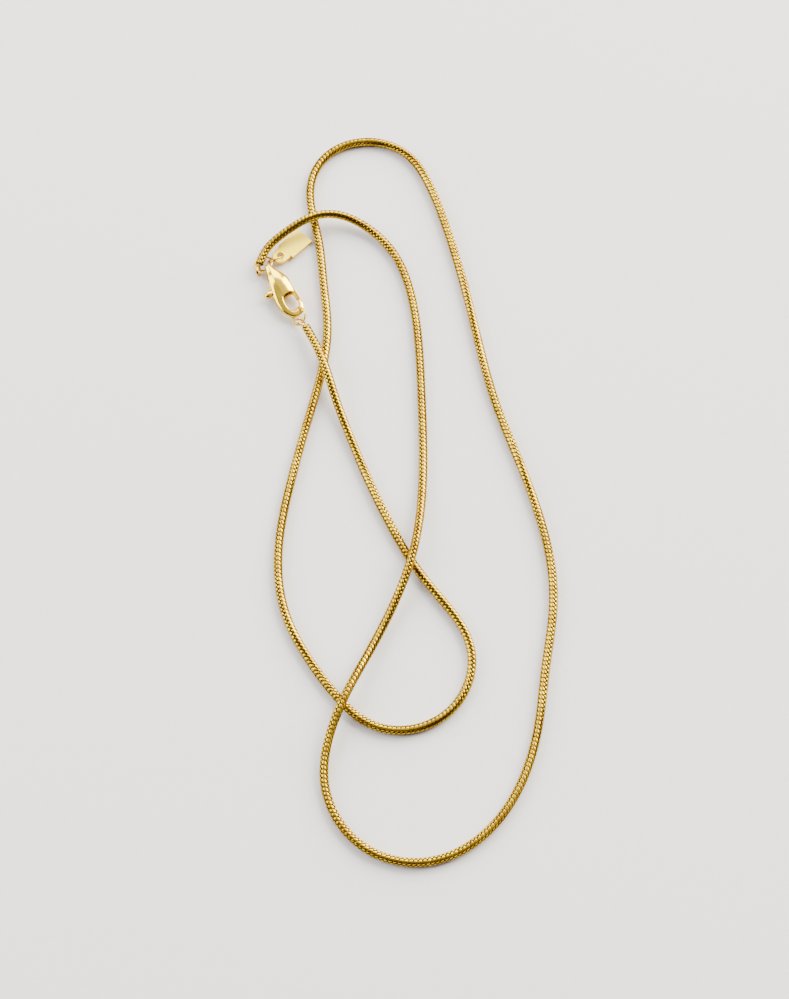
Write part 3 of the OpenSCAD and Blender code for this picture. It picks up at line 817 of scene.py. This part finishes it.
def claspBody():
    place = clasp["place"]
    front, half = clasp["front"], clasp["halfWidth"]
    rings = [[place @ Vector((x * mm, y * mm, z * mm)) for y, z in ridgedSection(left, right, ridge, top)]
             for x, left, right, ridge, top in eased(bodyRows, clasp["rowSteps"])]
    shell = meshPiece("shell", *loftRings(rings))
    rows = eased(hookRows, clasp["rowSteps"])
    centres = [Vector((clasp["length"] - x * clasp["hookLength"], y * half, 0)) for x, y, r in rows]
    hookRings = []
    for i, at in enumerate(centres):
        ahead = (centres[min(i + 1, len(rows) - 1)] - centres[max(i - 1, 0)]).normalized()
        inner = Vector((-ahead.y, ahead.x, 0))
        r = rows[i][2] * half
        section = ridgedSection(-r, r, clasp["hookCrease"] * r, r)
        hookRings.append([place @ (at + inner * y + Vector((0, 0, z))) for y, z in section])
    hook = meshPiece("hook", *loftRings(hookRings))
    # Slot for the lever, hole across the tail and the pin's hole
    halfSlot = clasp["slot"] / 2
    past = half + mm
    reach = claspCuts["reach"]
    pinX = clasp["pin"][0]
    back, step, wall = claspCuts["back"], pinX + claspCuts["step"], claspCuts["wall"]
    plan = [(back, -past), (step, -past), (step, wall), (front + mm, wall), (front + mm, past),
            (step - claspCuts["mouth"], past), (pinX - claspCuts["beforePin"], half - claspCuts["sideAtPin"]),
            (back, half - claspCuts["sideAtBack"])]
    slot = prism("slot", plan, -halfSlot, halfSlot, place)
    across = (place @ Matrix.Translation((claspCuts["tailHoleAt"], 0, 0))
              @ Matrix.Rotation(math.pi / 2, 4, "X"))
    tailHole = prism("tailHole", circle((0, 0), claspCuts["tailHole"]), -reach, reach, across)
    pinTop = halfSlot + claspCuts["pinHoleRise"]
    pinHole = prism("pinHole", circle(clasp["pin"], claspCuts["pinHole"]), -reach, pinTop, place)
    halfLong, halfWide = claspCuts["hollowHalf"]
    oval = [(front + claspCuts["hollowAhead"] + halfLong * x, claspCuts["hollowSide"] + halfWide * y)
            for x, y in circle((0, 0), 1)]
    hollow = prism("hollow", oval, -reach, reach, place)
    return fused("claspBodyPiece", [shell, hook], [slot, tailHole, pinHole, hollow],
                 clasp["voxel"], clasp["smoothing"])


lever = {
    "hub": 0.77 * mm, "arm": 0.8 * mm, "gate": 0.3 * mm, "thick": 0.86 * mm, "hole": 0.38 * mm,
    # The thumb knob, ahead of the pin and out past the body, and the gate's end, short of the hook's tip
    "knobAhead": 0.75 * mm, "knobOut": 0.65 * mm, "tipShort": 0.14 * mm,
    # The arm's root as shares of the hub and how far below the pin, and the gate's straight run
    "armBack": (0.8, 0.3 * mm), "armFront": (0.95, 0.2 * mm), "run": 1.4 * mm, "innerRun": 0.8,
    "hubSides": 48, "padSides": 28, "rowSteps": 4, "voxel": 0.035 * mm, "smoothing": 4,
}
# Thumb pad, a tongue that hides the arm and slopes down to its outer edge: y from the knob's middle,
# half width and half height, in millimetres
padRows = [
    (0.95, 0.36, 0.40),
    (0.60, 0.42, 0.50),
    (0.20, 0.48, 0.55),
    (-0.20, 0.51, 0.54),
    (-0.42, 0.42, 0.42),
    (-0.52, 0.24, 0.24),
]


def claspLever():
    place = clasp["place"]
    pinX, pinY = clasp["pin"]
    half = clasp["halfWidth"]
    hub, arm, gate, run = (lever[name] for name in ("hub", "arm", "gate", "run"))
    knob = (pinX + lever["knobAhead"], -half - lever["knobOut"])
    backShare, backDrop = lever["armBack"]
    frontShare, frontDrop = lever["armFront"]
    hookEnd, hookSide = hookRows[-1][:2]
    tip = (clasp["length"] - hookEnd * clasp["hookLength"] - lever["tipShort"] - gate, hookSide * half)
    armPlan = [(pinX - backShare * hub, pinY - backDrop), (knob[0] - arm / 2, knob[1]),
               (knob[0] + arm / 2, knob[1]), (pinX + frontShare * hub, pinY - frontDrop)]
    gatePlan = [(pinX + hub, pinY), (tip[0] - lever["innerRun"] * run, tip[1] - gate),
                (tip[0], tip[1] - gate), (tip[0], tip[1] + gate), (tip[0] - run, tip[1] + gate),
                (pinX, pinY + hub)]
    plans = {"hub": circle(clasp["pin"], hub, lever["hubSides"]), "arm": armPlan, "gate": gatePlan,
             "gateEnd": circle(tip, gate)}
    high = lever["thick"] / 2
    parts = [prism(name, plan, -high, high, place) for name, plan in plans.items()]
    sides = lever["padSides"]
    padRings = []
    for y, wide, tall in eased(padRows, lever["rowSteps"]):
        padRings.append([place @ Vector((knob[0] + wide * mm * math.cos(a), knob[1] + y * mm,
                                         tall * mm * math.sin(a)))
                         for a in (2 * math.pi * k / sides for k in range(sides))])
    parts.append(meshPiece("pad", *loftRings(padRings)))
    reach = claspCuts["reach"]
    hole = prism("hole", circle(clasp["pin"], lever["hole"]), -reach, reach, place)
    return fused("claspLeverPiece", parts, [hole], lever["voxel"], lever["smoothing"])


pin = {"radius": 0.35 * mm, "low": -0.85 * mm, "rise": 0.28 * mm, "edge": 0.05 * mm,
       "sides": 40, "sharpFrom": 40}


def claspPin():
    # From its low end up into the body over the slot, with an edge taken off at each end
    x, y = clasp["pin"]
    low, high = pin["low"], clasp["slot"] / 2 + pin["rise"]
    edge, radius, sides = pin["edge"], pin["radius"], pin["sides"]
    rings = [[clasp["place"] @ Vector((x + r * math.cos(a), y + r * math.sin(a), z))
              for a in (2 * math.pi * k / sides for k in range(sides))]
             for z, r in ((low, radius - edge), (low + edge, radius), (high - edge, radius),
                          (high, radius - edge))]
    piece = meshPiece("claspPinPiece", *loftRings(rings))
    shadeSmooth(piece.data, pin["sharpFrom"])
    return piece


finished(claspBody(), claspGold, "clasp_gold", "necklace", "clasp_body")
finished(claspLever(), claspGold, "clasp_gold", "lever", "clasp_lever")
finished(claspPin(), claspGold, "clasp_gold", "necklace", "clasp_pin")
print("clasp made")


# Table top: pale matte board with fine fibres
board = {"reach": 1.5, "pale": "#F4EEFF", "deep": "#EFE9FA", "fibre": mm / 0.9, "roughness": 0.7}


def boardMaterial():
    material, tree = newMaterial("paleMatteBoard")
    place = addNode(tree, "ShaderNodeTexCoord").outputs["Object"]
    fibres = addNode(tree, "ShaderNodeTexNoise", {
        "Vector": place, "Scale": 1 / board["fibre"], "Detail": 4})
    colour = addNode(tree, "ShaderNodeMix", {
        "Factor": fibres.outputs["Fac"], "A": linear(board["pale"]), "B": linear(board["deep"])},
        data_type="RGBA")
    shader = addNode(tree, "ShaderNodeBsdfPrincipled", {
        "Base Color": result(colour), "Roughness": board["roughness"]})
    addNode(tree, "ShaderNodeOutputMaterial", {"Surface": shader.outputs["BSDF"]})
    return material


corners = [(x * board["reach"], y * board["reach"], 0) for x, y in ((-1, -1), (1, -1), (1, 1), (-1, 1))]
floor = meshPiece("floor", corners, [(0, 1, 2, 3)])
floor.data.materials.append(boardMaterial())

# Light: three broad soft boxes, the brightest high at the back on the right, all aimed at the middle
# of the table. Places and sizes are in metres.
lights = {
    "key": {"at": (0.80, 0.72, 0.62), "size": 0.95, "watts": 52.0, "colour": "#FFFFDE"},
    "side": {"at": (-1.00, 0.20, 0.55), "size": 0.85, "watts": 21.0, "colour": "#FAFFEC"},
    "back": {"at": (-0.10, 1.20, 0.70), "size": 0.90, "watts": 23.0, "colour": "#FFFFE2"},
}
for name, light in lights.items():
    lamp = bpy.data.lights.new(name, "AREA")
    lamp.size = light["size"]
    lamp.energy = light["watts"]
    lamp.color = linear(light["colour"])[:3]
    stand = bpy.data.objects.new(name, lamp)
    stand.location = light["at"]
    stand.rotation_euler = Vector(light["at"]).to_track_quat("Z", "Y").to_euler()
    bpy.context.scene.collection.objects.link(stand)

# The room: bright overhead and at the back, and brown towards the viewer
room = {"brightestTowards": (0.3, 0.64, 0.7), "dimUpTo": 0.25, "brightFrom": 0.85,
        "dim": "#3C2A18", "bright": "#FCFCF2", "strength": 1.25}


def roomLight():
    world = bpy.data.worlds.new("room")
    world.use_nodes = True
    tree = world.node_tree
    tree.nodes.clear()
    heading = addNode(tree, "ShaderNodeTexCoord").outputs["Generated"]
    lean = addNode(tree, "ShaderNodeVectorMath", {
        0: heading, 1: room["brightestTowards"]}, operation="DOT_PRODUCT")
    ramp = addNode(tree, "ShaderNodeMapRange", {
        "Value": lean.outputs["Value"], "From Min": room["dimUpTo"], "From Max": room["brightFrom"]},
        interpolation_type="SMOOTHSTEP")
    colour = addNode(tree, "ShaderNodeMix", {
        "Factor": ramp.outputs["Result"], "A": linear(room["dim"]), "B": linear(room["bright"])},
        data_type="RGBA")
    glow = addNode(tree, "ShaderNodeBackground", {"Color": result(colour), "Strength": room["strength"]})
    addNode(tree, "ShaderNodeOutputWorld", {"Surface": glow.outputs["Background"]})
    bpy.context.scene.world = world


roomLight()
print("light set")
